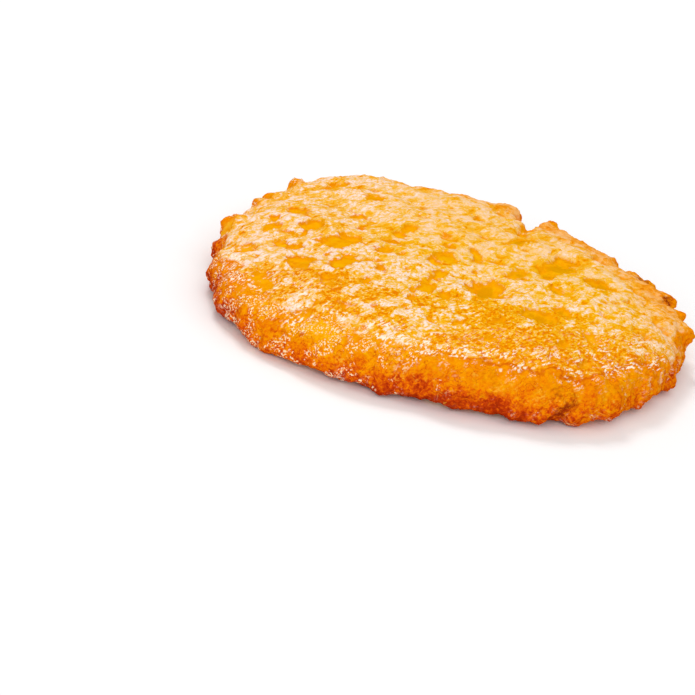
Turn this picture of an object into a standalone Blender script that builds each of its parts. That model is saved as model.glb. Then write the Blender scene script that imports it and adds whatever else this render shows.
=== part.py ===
"""A potato fritter: one patty of potato shreds, pressed flat and fried, lying on its underside.

Metres, +Z up. The origin is under the middle of the patty, on the surface that it lies on.
The patty is a sphere of small triangles laid over a turned section, so that every triangle keeps
an equal share of the surface. Lobes give the outline, and lumps, hollows, shreds and a fine
unevenness give the relief.
"""

import math
import random

import bpy
import numpy as np
from mathutils import Vector, noise

MM = 0.001

# The turned section, before any relief.
MEAN_RADIUS = 45.2 * MM
THICKNESS = 11.7 * MM
WIDEST_HEIGHT = 3.2 * MM  # where the side bulges furthest out

# Exponents of the section's two rounded halves. The edge is softer on one side of the patty.
SOFT_SIDE = math.radians(255)
TOP_SQUARENESS_SOFT, TOP_SQUARENESS_CRISP = 3.0, 4.2
UNDERSIDE_SQUARENESS = 5.0

# How far the top is pushed over towards one side, and which way.
LEAN = 1.0 * MM
LEAN_WAY = math.radians(20)

# The outline's soft lobes: lobes round the rim, swing in mm, direction of a crest in degrees.
LOBES = ((2, 0.35, 85), (3, 1.7, 105), (4, 0.9, 37), (5, 0.6, 6), (6, 0.8, 10))

# Lumps of the rim: direction in degrees, height above the floor, reach outwards, half width along
# the rim and half height, in mm. A negative reach is a notch or a fold.
RIM_LUMPS = (
    (4, 6.9, 2.3, 4.0, 2.6),
    (14, 8.0, 1.4, 3.0, 2.8),
    (22, 7.8, 2.0, 5.0, 3.2),
    (31.5, 7.8, 1.9, 5.2, 3.2),
    (38, 8.5, -1.3, 2.4, 3.2),
    (45.5, 8.0, 1.9, 3.4, 3.0),
    (54, 8.5, 0.5, 5.0, 3.0),
    (61, 8.6, 0.6, 2.6, 2.8),
    (67, 8.5, 1.2, 3.4, 3.5),
    (72.0, 9.0, -3.4, 4.0, 6.0),
    (79.5, 8.5, 0.4, 3.4, 3.5),
    (88, 8.8, 1.0, 3.8, 3.2),
    (98, 8.5, -1.2, 3.6, 3.2),
    (113, 8.3, 0.6, 4.6, 3.2),
    (129, 8.8, 0.7, 3.0, 3.0),
    (138, 9.0, 2.2, 4.2, 3.2),
    (146, 8.5, -0.2, 2.4, 3.0),
    (153, 8.8, 2.6, 2.6, 2.6),
    (160, 8.4, 2.2, 2.4, 2.8),
    (167, 8.2, 0.2, 2.4, 3.0),
    (177, 7.2, 3.1, 4.0, 3.6),
    (182, 4.2, 1.2, 3.0, 3.0),
    (190, 4.5, -1.6, 5.0, 6.0),
    (205, 2.0, -1.3, 7.0, 4.0),
    (236, 8.5, -2.2, 5.0, 6.5),
    (250, 7.5, 1.3, 8.0, 5.0),
    (283, 6.0, 0.7, 9.0, 5.0),
    (303, 2.0, -1.1, 3.2, 3.2),
    (314, 4.5, 1.3, 7.0, 5.0),
    (334, 4.5, 1.4, 7.0, 5.0),
    (347, 2.0, 0.9, 4.0, 3.0),
    (356, 2.4, -1.0, 3.2, 3.0),
)

# Hollows of the top: across, along, length and width, turn in degrees, and depth, in mm.
HOLLOWS = (
    (6.5, -8.5, 12.5, 9.0, -12, 1.5),
    (18.0, -15.0, 8.5, 6.5, -8, 1.1),
    (20.5, 14.5, 9.0, 7.0, -10, 1.1),
    (29.0, 7.5, 8.5, 7.0, -8, 0.9),
    (28.0, 20.5, 7.0, 5.0, -20, 0.8),
    (20.5, 26.0, 6.0, 4.5, -15, 0.7),
    (12.0, 25.0, 4.0, 8.0, 10, 0.8),
    (8.5, 34.0, 7.0, 4.0, -10, 0.8),
    (3.0, 26.5, 4.5, 3.8, 0, 0.6),
    (-18.5, 29.5, 4.5, 4.0, 0, 0.7),
    (-26.5, 30.0, 4.5, 4.0, -20, 0.6),
    (-32.0, 11.0, 4.5, 3.8, -35, 0.6),
    (-27.5, 1.5, 5.0, 5.0, 20, 0.7),
    (-20.5, -0.5, 7.0, 7.0, 25, 0.9),
    (-19.5, -9.5, 5.5, 5.5, 10, 0.7),
    (-27.5, -15.0, 6.5, 3.6, 8, 0.6),
    (-32.5, -27.0, 8.0, 5.0, 25, 0.7),
    (-12.0, 2.5, 6.5, 3.8, 8, 0.6),
    (-1.0, 6.5, 6.5, 3.8, -8, 0.6),
    (-3.5, -3.0, 4.0, 5.0, 20, 0.6),
    (8.5, 5.5, 5.5, 3.6, -15, 0.5),
    (-11.0, -29.0, 7.5, 4.0, -12, 0.5),
    (33.0, -12.0, 7.0, 4.5, 15, 0.5),
    (-36.5, -13.0, 6.0, 3.6, 12, 0.5),
    (22.0, -31.0, 7.0, 3.6, -5, 0.4),
    (13.5, 37.0, 14.0, 9.0, -25, 0.8),
)

# Potato shreds that lie in the crust: how many, and each one's length, half width and relief.
SHRED_COUNT = 130
SHRED_LENGTHS = (7 * MM, 17 * MM)
SHRED_HALF_WIDTH = 1.5 * MM
SHRED_RELIEF = 0.40 * MM

# Unevenness without a pattern: how far apart its swells are, and how far they stand out on the
# faces and on the side.
SWELLS = (
    (14.0 * MM, 0.50 * MM, 0.40 * MM),
    (5.0 * MM, 0.26 * MM, 0.42 * MM),
    (2.6 * MM, 0.12 * MM, 0.30 * MM),
)

SEED = 7
SPHERE_SUBDIVISIONS = 7
SECTION_STEPS = 2000
TRIANGLES = 9600
SNAP = 0.08 * MM  # what lies this close to the floor lies on it

CRUST_COLOUR = (0.83, 0.42, 0.06, 1.0)
CRUST_ROUGHNESS = 0.42


def clear_scene():
    for obj in list(bpy.data.objects):
        bpy.data.objects.remove(obj, do_unlink=True)


def crust_material():
    material = bpy.data.materials.new("fried_crust")
    material.use_nodes = True
    shader = material.node_tree.nodes["Principled BSDF"]
    shader.inputs["Base Color"].default_value = CRUST_COLOUR
    shader.inputs["Roughness"].default_value = CRUST_ROUGHNESS
    shader.inputs["Metallic"].default_value = 0.0
    return material


def bowl(distance):
    """1 in the middle, falling smoothly to 0 at a distance of 1 and beyond."""
    return np.clip(1.0 - distance**2, 0.0, 1.0) ** 2


def outline_radius(angle):
    radius = np.full_like(angle, MEAN_RADIUS)
    for count, swing, crest in LOBES:
        radius += swing * MM * np.cos(count * (angle - math.radians(crest)))
    return radius


def section(turn, squareness):
    """The turned section: turn runs from 0 at the crown to pi in the middle of the underside.

    It gives the reach from the axis, as a share of the outline's radius, and the height.
    """
    upper = turn <= math.pi / 2
    power = 2.0 / np.where(upper, squareness, UNDERSIDE_SQUARENESS)
    rise = np.where(upper, THICKNESS - WIDEST_HEIGHT, -WIDEST_HEIGHT)
    reach = np.clip(np.sin(turn), 0.0, 1.0) ** power
    return reach, WIDEST_HEIGHT + rise * np.abs(np.cos(turn)) ** power


def turn_of(passed):
    """How far round the section each share of the patty's surface lies."""
    turn = np.linspace(0.0, math.pi, SECTION_STEPS)
    reach, height = section(turn, (TOP_SQUARENESS_SOFT + TOP_SQUARENESS_CRISP) / 2)
    area = np.cumsum(reach * np.hypot(np.gradient(reach * MEAN_RADIUS), np.gradient(height)))
    return np.interp(passed, (area - area[0]) / (area[-1] - area[0]), turn)


def lay_on_section(directions):
    """Places each direction of a round ball on the smooth patty, with the way it faces there."""
    angle = np.arctan2(directions[:, 1], directions[:, 0])
    about = np.column_stack([np.cos(angle), np.sin(angle)])
    softness = (1.0 + np.cos(angle - SOFT_SIDE)) / 2
    squareness = TOP_SQUARENESS_CRISP + (TOP_SQUARENESS_SOFT - TOP_SQUARENESS_CRISP) * softness
    turn = turn_of((1.0 - directions[:, 2]) / 2.0)
    reach, height = section(turn, squareness)
    radius = outline_radius(angle) * reach
    points = np.column_stack([radius[:, None] * about, height])

    before, after = np.maximum(turn - 0.004, 0.0), np.minimum(turn + 0.004, math.pi)
    reach_before, height_before = section(before, squareness)
    reach_after, height_after = section(after, squareness)
    out = height_before - height_after
    up = (reach_after - reach_before) * MEAN_RADIUS
    normals = np.column_stack([out[:, None] * about, up])
    normals /= np.linalg.norm(normals, axis=1)[:, None]

    push = LEAN * reach**4 * (height - WIDEST_HEIGHT) / THICKNESS
    points[:, 0] += push * math.cos(LEAN_WAY)
    points[:, 1] += push * math.sin(LEAN_WAY)
    return points, normals


def push_rim(points):
    """Moves the points near the rim outwards into its lumps, or inwards into its notches.

    Where the rim faces up, a lump also rises, or a notch sinks.
    """
    angle = np.arctan2(points[:, 1], points[:, 0])
    inwards = outline_radius(angle) - np.hypot(points[:, 0], points[:, 1])
    push = np.zeros(len(points))
    for direction, height, reach, half_width, half_height in RIM_LUMPS:
        turned = np.angle(np.exp(1j * (angle - math.radians(direction))))
        along = turned * MEAN_RADIUS / (half_width * MM)
        up = (points[:, 2] - height * MM) / (half_height * MM)
        across = inwards / (2.5 * half_height * MM)
        push += reach * MM * bowl(np.sqrt(along**2 + up**2 + across**2))
    points[:, 0] += push * np.cos(angle)
    points[:, 1] += push * np.sin(angle)
    points[:, 2] += 0.35 * push * np.clip(points[:, 2] / WIDEST_HEIGHT - 1.0, 0.0, 1.0)


def hollow_relief(points):
    relief = np.zeros(len(points))
    for x, y, length, width, turn, depth in HOLLOWS:
        cos, sin = math.cos(math.radians(turn)), math.sin(math.radians(turn))
        across, along = points[:, 0] - x * MM, points[:, 1] - y * MM
        far = (across * cos + along * sin) / (0.6 * length * MM)
        near = (along * cos - across * sin) / (0.6 * width * MM)
        relief -= depth * MM * bowl(np.sqrt(far**2 + near**2))
    return relief


def shred_relief(points, normals):
    """Straight shreds that swell in the middle and sink in at both ends."""
    draw = random.Random(SEED)
    relief = np.zeros(len(points))
    for _ in range(SHRED_COUNT):
        middle = draw.randrange(len(points))
        normal = Vector(normals[middle])
        heading = np.array(normal.orthogonal().normalized())
        sideways = np.cross(normals[middle], heading)
        turn = draw.uniform(0.0, math.pi)
        heading = heading * math.cos(turn) + sideways * math.sin(turn)
        offset = points - points[middle]
        along = offset @ heading
        across = np.linalg.norm(offset - along[:, None] * heading, axis=1) / SHRED_HALF_WIDTH
        along /= draw.uniform(*SHRED_LENGTHS) / 2
        strip = SHRED_RELIEF * draw.uniform(0.6, 1.0) * bowl(along) * bowl(across)
        relief = np.maximum(relief, strip)
    return relief


def swell_relief(points, normals):
    side = 1.0 - normals[:, 2] ** 2
    relief = np.zeros(len(points))
    for size, on_faces, on_side in SWELLS:
        value = np.array([noise.noise(Vector(point) / size) for point in points])
        relief += 2.0 * value * (on_faces + (on_side - on_faces) * side)
    return relief


def make_patty():
    bpy.ops.mesh.primitive_ico_sphere_add(subdivisions=SPHERE_SUBDIVISIONS, radius=1.0)
    patty = bpy.context.active_object
    patty.name = "fritter"
    directions = np.empty(len(patty.data.vertices) * 3, np.float32)
    patty.data.vertices.foreach_get("co", directions)
    directions = directions.reshape(-1, 3).astype(np.float64)
    directions /= np.linalg.norm(directions, axis=1)[:, None]

    points, normals = lay_on_section(directions)
    push_rim(points)
    relief = shred_relief(points, normals) + swell_relief(points, normals)
    points += relief[:, None] * normals
    points[:, 2] += hollow_relief(points) * np.clip(normals[:, 2], 0.0, 1.0)
    points[:, 2] = np.maximum(points[:, 2], 0.0)
    patty.data.vertices.foreach_set("co", points.astype(np.float32).ravel())
    patty.data.update()
    return patty


def thin_out(patty):
    """Leaves small triangles where the surface bends, and large ones where it's flat."""
    modifier = patty.modifiers.new("fewer_triangles", "DECIMATE")
    modifier.decimate_type = "COLLAPSE"
    modifier.ratio = TRIANGLES / len(patty.data.polygons)
    bpy.context.view_layer.update()
    graph = bpy.context.evaluated_depsgraph_get()
    thinned = bpy.data.meshes.new_from_object(patty.evaluated_get(graph), depsgraph=graph)
    patty.modifiers.clear()
    patty.data = thinned
    thinned.name = "fritter"


def set_down(patty):
    """Puts the middle of the patty over the origin, and its lowest crags flat on the floor."""
    points = np.empty(len(patty.data.vertices) * 3, np.float32)
    patty.data.vertices.foreach_get("co", points)
    points = points.reshape(-1, 3)
    points[:, :2] -= (points[:, :2].max(axis=0) + points[:, :2].min(axis=0)) / 2
    points[points[:, 2] < SNAP, 2] = 0.0
    patty.data.vertices.foreach_set("co", points.ravel())
    patty.data.update()


def main():
    clear_scene()
    patty = make_patty()
    thin_out(patty)
    set_down(patty)
    patty.data.materials.clear()
    patty.data.materials.append(crust_material())
    for polygon in patty.data.polygons:
        polygon.use_smooth = True
    collection = bpy.data.collections.new("potato_fritter")
    bpy.context.scene.collection.children.link(collection)
    for owner in list(patty.users_collection):
        owner.objects.unlink(patty)
    collection.objects.link(patty)


main()
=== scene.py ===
"""The looks of the potato fritter: its fried crust, and the white studio that it lies in."""

import math

import bmesh
import bpy
import numpy as np
from mathutils import Matrix, Vector, noise


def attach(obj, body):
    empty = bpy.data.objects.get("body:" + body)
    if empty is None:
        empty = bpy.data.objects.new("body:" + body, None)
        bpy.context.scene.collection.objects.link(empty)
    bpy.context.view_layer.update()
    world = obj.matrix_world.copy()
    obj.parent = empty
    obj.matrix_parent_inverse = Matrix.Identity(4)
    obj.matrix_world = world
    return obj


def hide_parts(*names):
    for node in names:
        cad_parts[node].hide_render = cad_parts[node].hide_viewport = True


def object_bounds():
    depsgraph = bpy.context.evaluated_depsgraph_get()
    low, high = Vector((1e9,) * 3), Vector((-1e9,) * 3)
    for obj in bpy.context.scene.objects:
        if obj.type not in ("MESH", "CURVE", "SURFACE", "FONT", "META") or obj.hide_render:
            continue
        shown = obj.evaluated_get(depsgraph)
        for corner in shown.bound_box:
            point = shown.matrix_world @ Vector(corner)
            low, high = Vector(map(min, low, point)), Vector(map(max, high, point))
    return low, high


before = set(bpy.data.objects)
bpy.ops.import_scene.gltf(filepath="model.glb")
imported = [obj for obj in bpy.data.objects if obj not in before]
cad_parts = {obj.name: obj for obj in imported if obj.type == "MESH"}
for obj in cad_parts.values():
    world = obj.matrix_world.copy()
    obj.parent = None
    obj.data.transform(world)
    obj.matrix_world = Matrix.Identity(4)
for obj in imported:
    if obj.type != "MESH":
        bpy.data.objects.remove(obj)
cad_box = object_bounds()

MM = 0.001
VOXEL = 0.45 * MM  # the crust's mesh, about as fine as 200,000 triangles allow
EASING = 8  # rounds of smoothing, which take out the facets of the CAD

# The pale crust that froths up on both faces, and breaks open over the hollows.
CRUST_GONE = 0.09  # share of the faces where it is missing, beside the windows named below
CRUST_THICKNESS = 0.40 * MM
LIP_HEIGHT = 0.10 * MM  # its torn edge curls up by this
FROTH_HEIGHT = 0.15 * MM
SIDE_GRAIN = 0.26 * MM  # relief of the bare, crumbly side
RIM_CRAGS = 0.30 * MM  # relief of the crisp rim, where the shoulder is narrow

# The side's bare grain runs in over the shoulder: far at the front, hardly at the back.
SHOULDER_WIDE = 5.4 * MM
SHOULDER_NARROW = 1.8 * MM
UNDERSIDE_INSET = 4.0 * MM
SOFT_SIDE = math.radians(270)  # where the shoulder is widest
DARK_SIDE = math.radians(250)  # where the lower rim is fried darkest

# Most shreds lie this way, so froth, gaps and windows are longer in it.
GRAIN = math.radians(60)

# The largest windows in the top's pale crust: x, y, half width across the grain and half length
# along it, in mm.
WINDOWS = (
    (-22.9, -5.5, 2.7, 4.7), (-20.9, -15.5, 2.0, 3.8), (-28.7, -18.1, 2.3, 2.7), (-39.2, -13.2, 1.9, 2.5),
    (-34.3, -26.6, 2.7, 3.0), (-36.0, -2.6, 1.1, 2.1), (-28.7, 0.4, 1.9, 3.6), (-32.6, -9.8, 1.1, 2.1),
    (-32.6, 7.1, 1.6, 3.1), (-19.4, 22.7, 1.7, 2.4), (-27.7, 26.7, 1.6, 2.9), (-39.4, 17.3, 1.4, 2.6),
    (-44.6, -0.6, 1.4, 2.3), (-14.4, -5.1, 1.6, 3.0), (-22.4, -25.1, 1.6, 1.8), (6.1, -9.3, 3.6, 4.7),
    (18.8, 9.4, 3.3, 4.4), (-2.5, -0.4, 2.3, 2.9), (-3.0, -9.3, 1.4, 2.6), (-5.0, -16.8, 1.6, 2.6),
    (-10.8, 9.9, 1.4, 2.3), (10.3, 17.0, 1.6, 4.4), (11.0, 0.6, 2.0, 3.0), (16.7, -16.3, 3.1, 4.2),
)

# The cleft that runs in from the notch in the rim at the back: its ends (x, y), half width and depth.
CLEFT_ENDS = ((12.2 * MM, 45.0 * MM), (10.6 * MM, 21.0 * MM))
CLEFT_HALF_WIDTH = 2.6 * MM
CLEFT_DEPTH = 3.2 * MM

# Scorched marks: direction, share of the way out to the rim, share of the height, reach, strength.
SCORCHES = (
    (math.radians(300), 0.99, 0.34, 3.4 * MM, 1.0),
    (math.radians(30), 0.87, 0.77, 2.2 * MM, 0.8),
    (math.radians(19), 0.93, 0.73, 2.2 * MM, 1.0),
    (math.radians(236), 0.99, 0.30, 3.0 * MM, 0.5),
)


def step(values, low, high):
    """0 below low, 1 above high and smooth between."""
    values = np.clip((values - low) / (high - low), 0.0, 1.0)
    return values * values * (3.0 - 2.0 * values)


def swells(points, size, seed, octaves=1):
    """Smooth noise about 0, mostly within -1 to 1, whose swells are about that size."""
    shift = Vector((seed * 3.71, seed * 7.13, seed * 5.37))
    scaled = [Vector(point) + shift for point in points / size]
    if octaves == 1:
        values = [noise.noise(point, noise_basis="PERLIN_ORIGINAL") for point in scaled]
    else:
        values = [
            noise.fractal(point, 0.9, 2.1, octaves, noise_basis="PERLIN_ORIGINAL") for point in scaled
        ]
    return 1.8 * np.array(values)


def squeezed(points, stretch):
    """points with the lengths along the grain divided by stretch, for noise that is longer that way."""
    grain = np.array([math.cos(GRAIN), math.sin(GRAIN), 0.0])
    return points + np.outer(points @ grain, grain) * (1 / stretch - 1)


# --- The crust's form -------------------------------------------------------------------------

class Surface:
    """A mesh's points, and what's worked out along its surface. Lengths are in metres."""

    def __init__(self, mesh):
        self.mesh = mesh
        self.count = len(mesh.vertices)
        points = np.empty(self.count * 3, np.float32)
        mesh.vertices.foreach_get("co", points)
        self.points = points.reshape(-1, 3).astype(np.float64)
        edges = np.empty(len(mesh.edges) * 2, np.int32)
        mesh.edges.foreach_get("vertices", edges)
        edges = edges.reshape(-1, 2)
        self.ends = np.concatenate([edges, edges[:, ::-1]])
        self.degree = np.bincount(self.ends[:, 0], minlength=self.count)

    def neighbours_mean(self, values):
        columns = values.reshape(self.count, -1).T
        total = [
            np.bincount(self.ends[:, 0], weights=column[self.ends[:, 1]], minlength=self.count)
            for column in columns
        ]
        return (np.stack(total, axis=1) / self.degree[:, None]).reshape(values.shape)

    def blurred(self, values, reach):
        """values blurred along the surface over about that reach."""
        for _ in range(max(1, round((reach / VOXEL) ** 2))):
            values = (values + self.neighbours_mean(values)) / 2
        return values

    def ease(self, rounds):
        """Takes out the CAD's facets, and keeps the larger forms from shrinking."""
        for _ in range(rounds):
            self.points += 0.50 * (self.neighbours_mean(self.points) - self.points)
            self.points -= 0.52 * (self.neighbours_mean(self.points) - self.points)

    def store(self):
        self.mesh.vertices.foreach_set("co", self.points.astype(np.float32).ravel())
        self.mesh.update()

    def normals(self, reach):
        """Each point's normal, blurred over that reach."""
        self.store()
        normals = np.empty(self.count * 3, np.float32)
        self.mesh.vertex_normals.foreach_get("vector", normals)
        normals = self.blurred(normals.reshape(-1, 3).astype(np.float64), reach)
        return normals / np.linalg.norm(normals, axis=1)[:, None]

    def keep(self, name, values):
        """Leaves values on the mesh for the material to read."""
        data = self.mesh.attributes.new(name, "FLOAT", "POINT").data
        data.foreach_set("value", values.astype(np.float32))


def dense_copy(node):
    """A closed mesh of small, even quads over a CAD node."""
    mesh = bpy.data.meshes.new("crust_source")
    work = bmesh.new()
    work.from_mesh(node.data)
    work.transform(node.matrix_world)
    bmesh.ops.remove_doubles(work, verts=work.verts, dist=1e-7)
    work.to_mesh(mesh)
    work.free()
    piece = bpy.data.objects.new("fritter_crust", mesh)
    bpy.context.scene.collection.objects.link(piece)
    remesh = piece.modifiers.new("remesh", "REMESH")
    remesh.mode = "VOXEL"
    remesh.voxel_size = VOXEL
    graph = bpy.context.evaluated_depsgraph_get()
    dense = bpy.data.meshes.new_from_object(piece.evaluated_get(graph), depsgraph=graph)
    piece.modifiers.clear()
    piece.data = dense
    return piece


def inset_from_rim(points):
    """How far in from the rim each point is, as seen from above, and its direction from the middle."""
    sectors = 240
    direction = np.arctan2(points[:, 1], points[:, 0])
    reach = np.hypot(points[:, 0], points[:, 1])
    sector = ((direction / (2 * math.pi) + 1.0) * sectors).astype(int) % sectors
    rim = np.zeros(sectors)
    np.maximum.at(rim, sector, reach)
    for _ in range(3):
        rim = (np.roll(rim, 1) + 2 * rim + np.roll(rim, -1)) / 4
    place = (direction / (2 * math.pi) * sectors - 0.5) % sectors
    low = place.astype(int) % sectors
    share = place - place.astype(int)
    return rim[low] * (1 - share) + rim[(low + 1) % sectors] * share - reach, direction


def scorched(points, height):
    """Each scorched mark's strength at its middle, and 0 away from the marks."""
    marks = np.zeros(len(points))
    half_x, half_y = cad_box[1][0], cad_box[1][1]
    for direction, out, share, reach, strength in SCORCHES:
        place = np.array([
            out * half_x * math.cos(direction), out * half_y * math.sin(direction), share * height,
        ])
        away = np.linalg.norm(points - place, axis=1) + 0.35 * reach * swells(points, 1.4 * MM, 61, 3)
        marks = np.maximum(marks, strength * (1 - step(away, 0.35 * reach, reach)))
    return marks


def opened(film, points, facing):
    """film, brought below 0 inside the named windows of the top, where facing is above 0."""
    wobble = 0.8 * swells(points, 2.6 * MM, 71, 3)
    for x, y, wide, long in WINDOWS:
        east, north = points[:, 0] / MM - x, points[:, 1] / MM - y
        across = north * math.cos(GRAIN) - east * math.sin(GRAIN)
        along = east * math.cos(GRAIN) + north * math.sin(GRAIN)
        out = np.hypot(across / wide, along / long)
        film = np.where(facing > 0, np.minimum(film, 2.4 * (out - 0.9) + wobble), film)
    return film


def cleft(points):
    """1 along the middle of the cleft at the rim, and 0 beside it and at its inner end."""
    start, end = np.array(CLEFT_ENDS)
    run = end - start
    share = np.clip((points[:, :2] - start) @ run / (run @ run), 0.0, 1.0)
    away = np.linalg.norm(points[:, :2] - start - share[:, None] * run, axis=1)
    away += 0.4 * CLEFT_HALF_WIDTH * swells(points, 2.8 * MM, 73, 2)
    return (1 - step(away, 0.0, CLEFT_HALF_WIDTH)) * (1 - step(share, 0.2, 1.0))


def shore_distance(points, normals, inset, soft):
    """How far in from the bare side's edge each point is, in mm: below 0 on the side itself."""
    width = SHOULDER_NARROW + (SHOULDER_WIDE - SHOULDER_NARROW) * soft
    width = np.where(normals[:, 2] > 0, width, UNDERSIDE_INSET)
    return (inset - width) / MM + 1.3 * swells(points, 5.5 * MM, 51, 3)


def film_left(surface, normals, face, groove):
    """How much pale crust there is: above 0 where it lies, and below 0 where it has broken open."""
    points = surface.points
    hollow = ((surface.blurred(points, 4.0 * MM) - points) * normals).sum(axis=1) / MM
    warp = np.column_stack([swells(points, 4 * MM, seed) for seed in (11, 12, 13)]) * 0.7 * MM
    wander = swells(squeezed(points + warp, 1.5), 2.7 * MM, 21, 3)
    level = 0.26 * wander - 2.4 * hollow
    opening_level = np.quantile(level[face > 0.9], CRUST_GONE)
    whole_behind = 0.9 * step(points[:, 1], 0.0, 30 * MM)
    film = opened((level - opening_level) / 0.30 + whole_behind, points, normals[:, 2])
    return np.minimum(film, np.maximum(1.2 - 6.0 * groove, -0.6))


def crust_relief(points, film, face, inset, soft):
    """How far the froth, the torn edges, the side's grain and the rim's crags stand out."""
    on_film = step(film, -0.25, 0.25)
    lip = step(film, -0.1, 0.35) * (1 - step(film, 0.35, 1.3))
    froth = 1.0 - np.abs(swells(squeezed(points, 1.4), 1.6 * MM, 31, 2))
    froth = np.clip(froth, 0, 1) ** 2 - 0.45
    grain = swells(points, 2.3 * MM, 41, 3) + 0.45 * swells(points, 1.1 * MM, 42, 2)
    pale = CRUST_THICKNESS * (on_film - 0.5) + LIP_HEIGHT * lip + FROTH_HEIGHT * on_film * froth
    bare = (1 - face) + 0.16 * face * (1 - on_film)
    rim = (1 - soft) * step(inset, 7.0 * MM, 1.5 * MM)
    crags = RIM_CRAGS * swells(points, 2.8 * MM, 43, 3)
    return face * pale + bare * SIDE_GRAIN * grain + rim * crags


def shape_crust(piece):
    """Gives the crust its fine form, and leaves the fields that colour it on the mesh."""
    surface = Surface(piece.data)
    surface.ease(EASING)
    normals = surface.normals(1.6 * MM)
    points = surface.points
    height = points[:, 2].max()

    inset, direction = inset_from_rim(points)
    soft = step(np.cos(direction - SOFT_SIDE), 0.25, 0.80)  # 1 where the shoulder is wide
    shore = shore_distance(points, normals, inset, soft)
    face = step(shore, -0.9, 0.7)
    groove = cleft(points) * step(points[:, 2], 0.2 * height, 0.8 * height)
    film = film_left(surface, normals, face, groove)

    relief = crust_relief(points, film, face, inset, soft)
    surface.points = points + relief[:, None] * normals
    surface.points[:, 2] = np.maximum(surface.points[:, 2] - CLEFT_DEPTH * groove, 0.0)
    surface.store()

    surface.keep("film", film)
    surface.keep("shore", shore)
    surface.keep("inset", inset / MM)
    surface.keep("height", points[:, 2] / height)
    surface.keep("dark_way", 0.5 + 0.5 * np.cos(direction - DARK_SIDE))
    surface.keep("along", points[:, 0] / cad_box[1][0])
    surface.keep("front", -points[:, 1] / cad_box[1][1])
    surface.keep("scorch", scorched(points, height))
    piece.data.polygons.foreach_set("use_smooth", np.ones(len(piece.data.polygons), bool))


# --- Materials --------------------------------------------------------------------------------

def srgb(red, green, blue):
    """A colour as a screen shows it, 0 to 255, as the linear numbers that a shader takes."""
    def linear(value):
        value /= 255
        return value / 12.92 if value <= 0.04045 else ((value + 0.055) / 1.055) ** 2.4
    return (linear(red), linear(green), linear(blue), 1.0)


# The faces, by how thick the pale froth lies: amber where there is none, then honey, peach and cream.
FROTH_COLOURS = (
    (-0.15, srgb(232, 126, 3)), (0.10, srgb(242, 154, 2)), (0.32, srgb(245, 176, 6)),
    (0.50, srgb(246, 187, 50)), (0.66, srgb(248, 199, 120)), (0.82, srgb(250, 212, 175)),
    (1.00, srgb(253, 229, 214)),
)
BROWNED_COLOURS = (
    (0.00, srgb(234, 122, 5)), (0.45, srgb(246, 154, 36)), (0.90, srgb(249, 186, 108)),
)
WINDOW_COLOURS = (
    (0.80, srgb(232, 132, 3)), (1.35, srgb(242, 164, 3)), (1.90, srgb(246, 184, 10)),
)
BLUSH = srgb(252, 196, 190)
# Painted shade: the darker orange that rings the windows, standing in for the shade on their walls.
WINDOW_RIM_SHADE = srgb(234, 124, 5)
# Painted shade: darker olive in the middles of the windows and in the deepest hollows.
HOLLOW_SHADE = srgb(218, 148, 2)

# The side, from its most fried grain to its most golden.
SIDE_COLOURS = (
    (-0.30, srgb(168, 46, 8)), (0.02, srgb(202, 70, 10)), (0.28, srgb(226, 104, 7)),
    (0.52, srgb(238, 132, 4)), (0.80, srgb(244, 152, 3)), (1.05, srgb(250, 176, 10)),
)
VEIN = srgb(190, 56, 10)
# Painted shadow: the reddish line under the top's overhanging lip.
LIP_SHADOW = srgb(204, 78, 8)

# The marks over both.
FLECK = srgb(251, 184, 56)
# Painted highlights: pale sparkles on the side, and glints over the front shoulder.
SIDE_SPARKLE = srgb(255, 232, 190)
GLINT = srgb(255, 242, 220)
SCORCH = srgb(150, 50, 10)


class Value:
    """A number or colour that a material's nodes work out. Arithmetic on it adds nodes."""

    def __init__(self, tree, socket):
        self.tree = tree
        self.socket = socket

    def __add__(self, other):
        return self.tree.math("ADD", self, other)

    def __sub__(self, other):
        return self.tree.math("SUBTRACT", self, other)

    def __rsub__(self, other):
        return self.tree.math("SUBTRACT", other, self)

    def __mul__(self, other):
        return self.tree.math("MULTIPLY", self, other)

    def __neg__(self):
        return self.tree.math("MULTIPLY", self, -1.0)

    def __abs__(self):
        return self.tree.math("ABSOLUTE", self)


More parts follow.
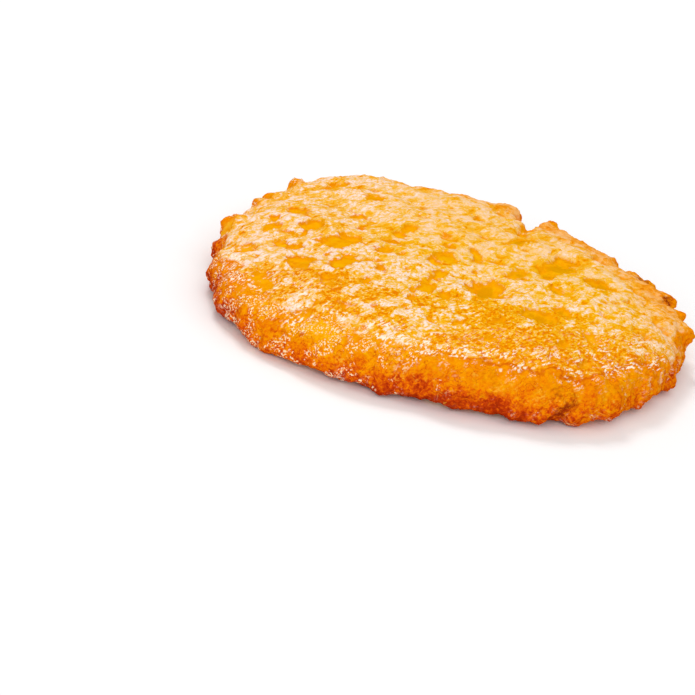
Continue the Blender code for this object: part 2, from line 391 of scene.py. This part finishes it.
class Tree:
    """A short way to write a material's nodes."""

    def __init__(self, name):
        self.material = bpy.data.materials.new(name)
        self.material.use_nodes = True
        self.nodes = self.material.node_tree.nodes
        self.links = self.material.node_tree.links
        self.shader = self.nodes["Principled BSDF"]
        self.coordinates = Value(self, self.nodes.new("ShaderNodeTexCoord").outputs["Object"])

    def put(self, value, socket):
        if isinstance(value, Value):
            self.links.new(value.socket, socket)
        else:
            socket.default_value = value

    def set(self, name, value):
        """Gives the shader's input of that name a value."""
        self.put(value, self.shader.inputs[name])

    def field(self, name):
        """The values that shape_crust left on the mesh under that name."""
        node = self.nodes.new("ShaderNodeAttribute")
        node.attribute_name = name
        return Value(self, node.outputs["Fac"])

    def noise(self, size, detail=2.0, roughness=0.5, shift=0.0, distortion=0.0, stretch=1.0):
        """Noise from 0 to 1, whose swells are about size metres, or stretch times that along the grain.

        Another shift gives another noise of the same kind.
        """
        moved = self.nodes.new("ShaderNodeMapping")
        moved.vector_type = "TEXTURE"
        self.put(self.coordinates, moved.inputs["Vector"])
        moved.inputs["Location"].default_value = (shift, shift * 0.7, -shift)
        moved.inputs["Rotation"].default_value = (0.0, 0.0, GRAIN)
        moved.inputs["Scale"].default_value = (stretch, 1.0, 1.0)
        node = self.nodes.new("ShaderNodeTexNoise")
        self.put(Value(self, moved.outputs["Vector"]), node.inputs["Vector"])
        node.inputs["Scale"].default_value = 1 / size
        node.inputs["Detail"].default_value = detail
        node.inputs["Roughness"].default_value = roughness
        node.inputs["Distortion"].default_value = distortion
        return Value(self, node.outputs["Fac"])

    def plus_noise(self, value, strength, size, shift):
        """value with noise from about -strength / 2 to strength / 2 added."""
        return value + (self.noise(size, 4, 0.6, shift) - 0.5) * (2 * strength)

    def veins(self, size, width, shift):
        """1 along thin, winding lines about size metres apart, and 0 between them."""
        winding = self.noise(size, 2, 0.5, shift, 0.8)
        return self.span(abs(winding - 0.5), width, 0.3 * width)

    def math(self, operation, a, b=0.0):
        node = self.nodes.new("ShaderNodeMath")
        node.operation = operation
        self.put(a, node.inputs[0])
        self.put(b, node.inputs[1])
        return Value(self, node.outputs[0])

    def lower(self, a, b):
        return self.math("MINIMUM", a, b)

    def higher(self, a, b):
        return self.math("MAXIMUM", a, b)

    def span(self, value, low, high, to_low=0.0, to_high=1.0):
        """A smooth step from to_low, where value is low, to to_high, where it is high."""
        node = self.nodes.new("ShaderNodeMapRange")
        node.interpolation_type = "SMOOTHSTEP"
        for given, socket in zip((value, low, high, to_low, to_high), node.inputs):
            self.put(given, socket)
        return Value(self, node.outputs[0])

    def ramp(self, value, stops):
        """The colour at value, between stops given as (place, colour)."""
        node = self.nodes.new("ShaderNodeValToRGB")
        low, high = stops[0][0], stops[-1][0]
        elements = node.color_ramp.elements
        while len(elements) < len(stops):
            elements.new(0.5)
        for element, (place, colour) in zip(elements, stops):
            element.position = (place - low) / (high - low)
            element.color = colour
        self.put((value - low) * (1 / (high - low)), node.inputs["Fac"])
        return Value(self, node.outputs["Color"])

    def mix(self, share, a, b):
        """Colour a, with that share of colour b over it."""
        node = self.nodes.new("ShaderNodeMix")
        node.data_type = "RGBA"
        node.clamp_factor = True
        factor, first, second = node.inputs["Factor"], node.inputs[6], node.inputs[7]
        self.put(share, factor)
        self.put(a, first)
        self.put(b, second)
        return Value(self, node.outputs[2])


class CrustLooks(Tree):
    """The fried crust: froth and amber windows on the faces, orange grain on the side.

    Two fields tell the regions apart, and both run from about -1 to 1: along, from the left end to
    the right one, and front, from the back to the front.
    """

    def __init__(self):
        super().__init__("fried_potato_crust")
        self.along, self.front = self.field("along"), self.field("front")
        self.height, self.shore = self.field("height"), self.field("shore")
        self.leftward = self.span(self.along, -0.1, -0.6)
        self.fine = self.noise(0.70 * MM, 3, 0.65, 1, 0.5, stretch=1.4)
        self.coarse = self.noise(2.8 * MM, 4, 0.6, 2, 0.5, stretch=1.6)
        self.crumble = self.fine - 0.5
        self.film = self.plus_noise(self.field("film"), 1.15, 1.2 * MM, 3) - 0.12
        self.edge = self.plus_noise(self.shore, 1.6, 2.4 * MM, 4)
        self.bare = self.span(self.edge, 0.5, -0.5)
        # The windows' edges are sharp at the front left, and soft to the right and at the back.
        softness = self.higher(
            self.span(self.along, -0.5, 0.3, 0.12, 0.5), self.span(self.front, 0.2, -0.5, 0.12, 0.6),
        )
        self.cover = self.span(self.film, -softness, softness)

    def bare_honey(self):
        """The thickness that shows between the froth: thin honey, crumblier and thinner to the front."""
        grain = self.crumble * self.span(self.front, -0.2, 0.6, 1.2, 3.8)
        return grain + self.span(self.front, 0.0, 0.6, 0.42, 0.16)

    def froth(self):
        """The thickness of a patch of froth: the least of a crumbly one and two with gaps in them."""
        crumbly = self.crumble * self.span(self.front, -0.1, 0.6, self.leftward * 1.8 + 0.9, 4.2)
        crumbly += self.leftward * 0.14 + 0.80
        frontward = self.span(self.front, -0.3, 0.3, 0.5, 1.0)
        small_gaps = self.crumble * self.higher(frontward, self.leftward)
        large_gaps = (self.coarse - 0.5) * self.span(self.front, -0.1, 0.3, 1.25, 0.9)
        gaps = (large_gaps + small_gaps) * self.span(self.front, -0.3, 0.3, 3.0, 3.6)
        gaps += self.span(self.front, -0.3, 0.3, 0.80, 0.92)
        pores = self.noise(1.7 * MM, 3, 0.6, 23, 0.8, stretch=1.5) * 4.5 - 1.30
        return self.lower(self.lower(crumbly, gaps), pores)

    def froth_thickness(self):
        """Patches of froth over honey: fewest at the front right, most at the back and the left."""
        sparse = self.span(self.along, -0.2, 0.5, 0.0, 0.26) + self.span(self.front, 0.05, 0.62, -0.06, 0.36)
        sparse += self.leftward * self.span(self.front, 0.6, 0.2, 0.04, -0.06)
        wide = self.noise(7.0 * MM, 2, 0.5, 6, stretch=1.5)
        patches = self.span(wide * 0.8 + self.coarse - sparse, 0.48, 0.58)
        honey = self.bare_honey()
        thick = (self.froth() - honey) * patches + honey
        near_window = self.span(self.film, 1.6, 0.2, 0.0, self.span(self.front, 0.4, -0.3, 0.08, 0.24))
        thinned = thick - near_window
        thinnest = 0.34  # beside a window the froth thins down to this, and what is thinner stays
        return self.higher(thinned, self.lower(thick, thinnest))

    def browning(self):
        """1 on the rim's crisp, browned band at the back right, and less to the left and the front."""
        inset = self.plus_noise(self.field("inset"), 5.0, 4.0 * MM, 8)
        band = self.span(inset, self.span(self.along, -0.3, 0.2, 9.5, 15.0), 3.0)
        band *= self.span(self.along, -0.5, 0.0, 0.2, 0.95)
        return band * self.span(self.front, 0.3, -0.3, 0.35, 1.0)

    def face_colour(self):
        thick = self.froth_thickness()
        colour = self.ramp(thick, FROTH_COLOURS)
        blush = self.span(thick, 0.15, 0.55, 0.0, 0.10)
        blush *= self.higher(self.leftward, self.span(self.front, 0.0, -0.5))
        colour = self.mix(blush, colour, BLUSH)

        window = self.ramp(self.coarse * 2.0 + self.fine * 0.8, WINDOW_COLOURS)
        colour = self.mix(self.span(self.cover, 0.6, 0.1), colour, window)
        # Painted shade along the windows' rims, broken up by noise and stronger to the left.
        window_rim_shade = self.span(self.film, -1.2, -0.2) * self.span(self.film, 0.3, 0.0)
        window_rim_shade *= self.span(self.coarse, 0.40, 0.60) * self.span(self.along, 0.5, -0.6, 0.3, 0.7)
        colour = self.mix(window_rim_shade, colour, WINDOW_RIM_SHADE)
        # Painted shade, darkest where the film runs lowest: in the windows' middles and the deepest hollows.
        hollow_shade = self.span(self.plus_noise(self.film, 1.6, 2.0 * MM, 5), -0.9, -2.2)
        colour = self.mix(hollow_shade * self.span(self.along, -0.1, 0.1, 0.0, 0.8), colour, HOLLOW_SHADE)
        return self.mix(self.browning(), colour, self.ramp(thick, BROWNED_COLOURS))

    def frying(self):
        """How much darker the side is: most along its lower rim in front, least at the right end."""
        depth = self.plus_noise(1.0 - self.height, 0.35, 2.6 * MM, 10)
        fried = self.span(depth, 0.40, 0.95) * self.span(self.field("dark_way"), 0.0, 1.0, 0.5, 0.8)
        fried *= self.span(self.along, 0.2, 0.8, 1.0, 0.45)
        from_left_front = abs(self.along + 0.55)
        return fried * self.span(from_left_front, 0.10, 0.35, 0.7, 1.0)

    def side_colour(self):
        golden = self.noise(5.5 * MM, 3, 0.55, 9, 0.6) * 0.95 + 0.15
        golden += self.span(self.along, 0.1, -0.5, -0.02, 0.17)
        golden -= self.span(self.along, -0.66, -0.86, 0.0, 0.30)
        golden += self.span(self.height, 0.40, 0.85, -0.04, 0.14)
        golden += self.crumble * self.span(self.height, 0.75, 0.30, 1.0, 2.3)
        colour = self.ramp(golden - self.frying(), SIDE_COLOURS)
        veined = self.span(self.noise(4.0 * MM, 2, 0.5, 16), 0.45, 0.58)
        veins = self.veins(1.6 * MM, 0.025, 15) * veined
        colour = self.mix(veins * 0.6, colour, VEIN)
        # Painted shadow under the top's lip, at the front right.
        front_right = self.span(self.along, -0.1, 0.25) * self.span(self.front, 0.2, 0.6)
        lip_shadow = self.span(self.edge, -1.5, -0.7) * self.span(self.edge, 0.0, -0.5)
        return self.mix(lip_shadow * front_right * 0.6, colour, LIP_SHADOW)

    def marked(self, colour):
        """colour with flecks, painted sparkle highlights on the side, painted glints over the front
        shoulder, and scorches.
        """
        dashes = self.span(self.noise(0.50 * MM, 2, 0.6, 19, 0.4, stretch=2.5), 0.52, 0.59)
        groups = self.noise(3.0 * MM, 3, 0.6, 20)
        flecks = dashes * self.span(groups, 0.56, 0.66) * self.bare
        colour = self.mix(flecks * 0.6, colour, FLECK)

        # Painted highlights: small pale sparkles on the side, in clusters, fewer to the right.
        sparkle_clusters = self.noise(3.6 * MM, 3, 0.6, 17) - self.span(self.along, -0.5, 0.1, 0.0, 0.16)
        sparkles = self.span(self.noise(0.36 * MM, 1, 0.5, 18), 0.54, 0.61)
        sparkles *= self.span(sparkle_clusters, 0.49, 0.55) * self.bare
        colour = self.mix(sparkles * 0.88, colour, SIDE_SPARKLE)

        shoulder = self.span(self.shore, -4.0, -1.0) * self.span(self.shore, 12.0, 2.0)
        shoulder *= self.span(self.front, 0.0, 0.5)
        glints = dashes * self.span(groups, 0.46, 0.58) * shoulder
        colour = self.mix(glints * 0.95, colour, GLINT)
        scorch = self.field("scorch") * self.span(self.fine, 0.60, 0.44, 0.35, 1.0)
        return self.mix(scorch, colour, SCORCH)

    def grain_normal(self):
        """The finest grain, too small for the mesh: strongest on the froth, fainter on the side."""
        rough = self.higher(self.cover, self.bare * self.span(self.height, 0.75, 0.30, 0.45, 0.8))
        grain = self.noise(0.85 * MM, 0.6, 0.5, 1, 0.4) + self.coarse * 0.4
        bump = self.nodes.new("ShaderNodeBump")
        bump.inputs["Strength"].default_value = 1.0
        bump.inputs["Distance"].default_value = 0.32 * MM
        self.put((grain - 0.7) * self.span(rough, 0.0, 1.0, 0.2, 1.0), bump.inputs["Height"])
        return Value(self, bump.outputs["Normal"])


def crust_material():
    crust = CrustLooks()
    colour = crust.mix(crust.bare, crust.face_colour(), crust.side_colour())
    crust.set("Base Color", crust.marked(colour))
    crust.set("Normal", crust.grain_normal())
    crust.set("Roughness", 0.6)
    crust.set("IOR", 1.45)
    crust.set("Specular IOR Level", 0.0)  # the oily glints are among the pale marks instead
    crust.set("Subsurface Weight", 0.05)
    crust.set("Subsurface Radius", (1.0, 0.40, 0.08))
    crust.set("Subsurface Scale", 0.8 * MM)
    return crust.material


def make_crust():
    crust = dense_copy(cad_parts["fritter"])
    shape_crust(crust)
    crust.data.materials.clear()
    crust.data.materials.append(crust_material())
    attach(crust, "root")
    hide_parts("fritter")


# --- The studio -------------------------------------------------------------------------------

FLOOR_HALF = 4.0  # in metres
CAMERA_PLACE = Vector((-1.50, -509.77, 205.36)) * MM
CAMERA_AIM = Vector((-16.25, -25.92, 0.0)) * MM
CAMERA_ROLL = math.radians(13.24)


def add_floor():
    mesh = bpy.data.meshes.new("floor")
    sheet = bmesh.new()
    bmesh.ops.create_grid(sheet, x_segments=1, y_segments=1, size=FLOOR_HALF)
    sheet.to_mesh(mesh)
    sheet.free()
    floor = bpy.data.objects.new("floor", mesh)
    bpy.context.scene.collection.objects.link(floor)
    white = Tree("white_floor")
    white.set("Base Color", (0.98, 0.98, 0.98, 1.0))
    white.set("Roughness", 0.9)
    white.set("Specular IOR Level", 0.0)
    floor.data.materials.append(white.material)


def add_softbox(name, place, width, height, radiance):
    """An even, rectangular light that faces the middle of the floor."""
    light = bpy.data.lights.new(name, "AREA")
    light.shape = "RECTANGLE"
    light.size, light.size_y = width, height
    light.energy = radiance * math.pi * width * height
    box = bpy.data.objects.new(name, light)
    box.location = place
    box.rotation_euler = (-Vector(place)).to_track_quat("-Z", "Y").to_euler()
    bpy.context.scene.collection.objects.link(box)


def add_lights():
    """Soft, nearly even light, with one small, brighter softbox behind that draws out the relief."""
    add_softbox("overhead", (0.3, 0.05, 0.85), 1.3, 1.3, 0.585)
    add_softbox("front_fill", (-0.12, -0.9, 0.5), 1.3, 0.6, 2.45)
    add_softbox("key", (-0.28, 0.45, 0.68), 0.30, 0.24, 11.0)
    world = bpy.data.worlds.new("studio")
    world.use_nodes = True
    world.node_tree.nodes["Background"].inputs["Color"].default_value = (1, 1, 1, 1)
    world.node_tree.nodes["Background"].inputs["Strength"].default_value = 0.36
    bpy.context.scene.world = world


def add_camera():
    """Looks down at the patty from the front, turned about its own view so that the floor tilts."""
    data = bpy.data.cameras.new("camera")
    data.sensor_width = 36
    data.lens = 150
    data.clip_start, data.clip_end = 0.02, 20
    camera = bpy.data.objects.new("camera", data)
    look = (CAMERA_AIM - CAMERA_PLACE).to_track_quat("-Z", "Y").to_matrix()
    turn = look @ Matrix.Rotation(CAMERA_ROLL, 3, "Z")
    camera.matrix_world = Matrix.Translation(CAMERA_PLACE) @ turn.to_4x4()
    bpy.context.scene.collection.objects.link(camera)
    bpy.context.scene.camera = camera


make_crust()
add_floor()
add_lights()
add_camera()
bpy.context.scene.view_settings.view_transform = "Standard"
